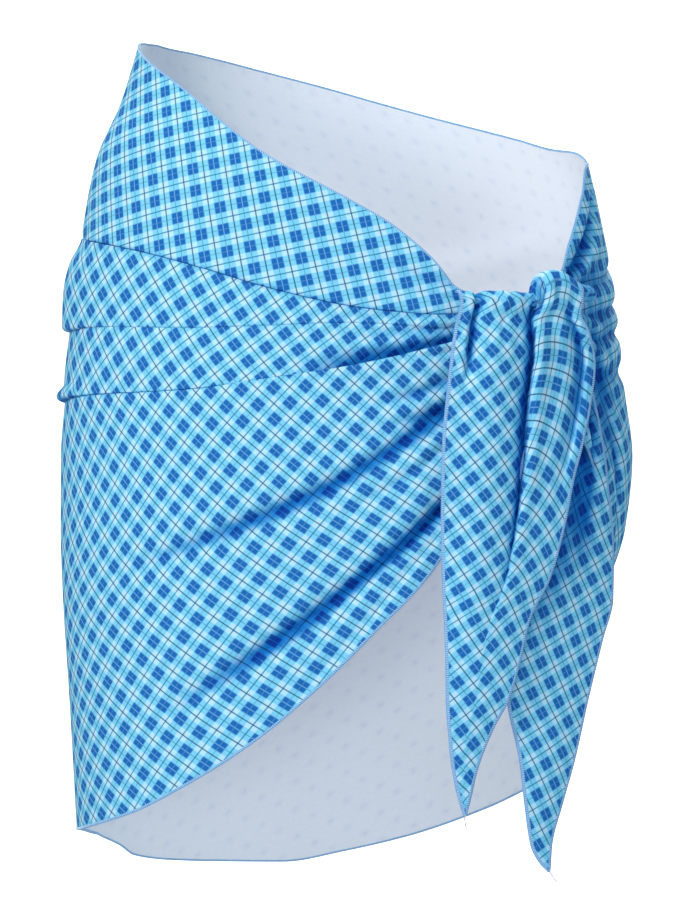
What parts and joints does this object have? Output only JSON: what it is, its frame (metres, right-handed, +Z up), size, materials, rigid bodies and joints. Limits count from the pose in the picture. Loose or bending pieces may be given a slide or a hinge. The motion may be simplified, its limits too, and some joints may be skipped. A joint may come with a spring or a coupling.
{
  "type": "sarong wrap skirt",
  "caption": "Short tied sarong cover-up: a wrap skirt wound round the hips, gathered into a side knot with hanging pointed ends.",
  "frame": {"origin": "centre of the waist opening, where the wearer's waist holds the garment up", "axes": "+Z up out of the waist opening, -Y the way the wearer faces, +X towards the wearer's left hip and the knot"},
  "size_m": [0.3565, 0.257, 0.5248],
  "materials": {
    "plaid_cloth": "matte stretch swim cloth, blue plaid outside, lavender-white inside"
  },
  "bodies": {
    "root": {"back_wrap": "plaid_cloth", "front_upper": "plaid_cloth", "front_band_upper": "plaid_cloth", "front_band_lower": "plaid_cloth", "front_lower": "plaid_cloth", "hip_gather": "plaid_cloth", "knot_band": "plaid_cloth", "knot_loop": "plaid_cloth", "tie_front": "plaid_cloth", "tie_rear": "plaid_cloth"}
  },
  "joints": []
}
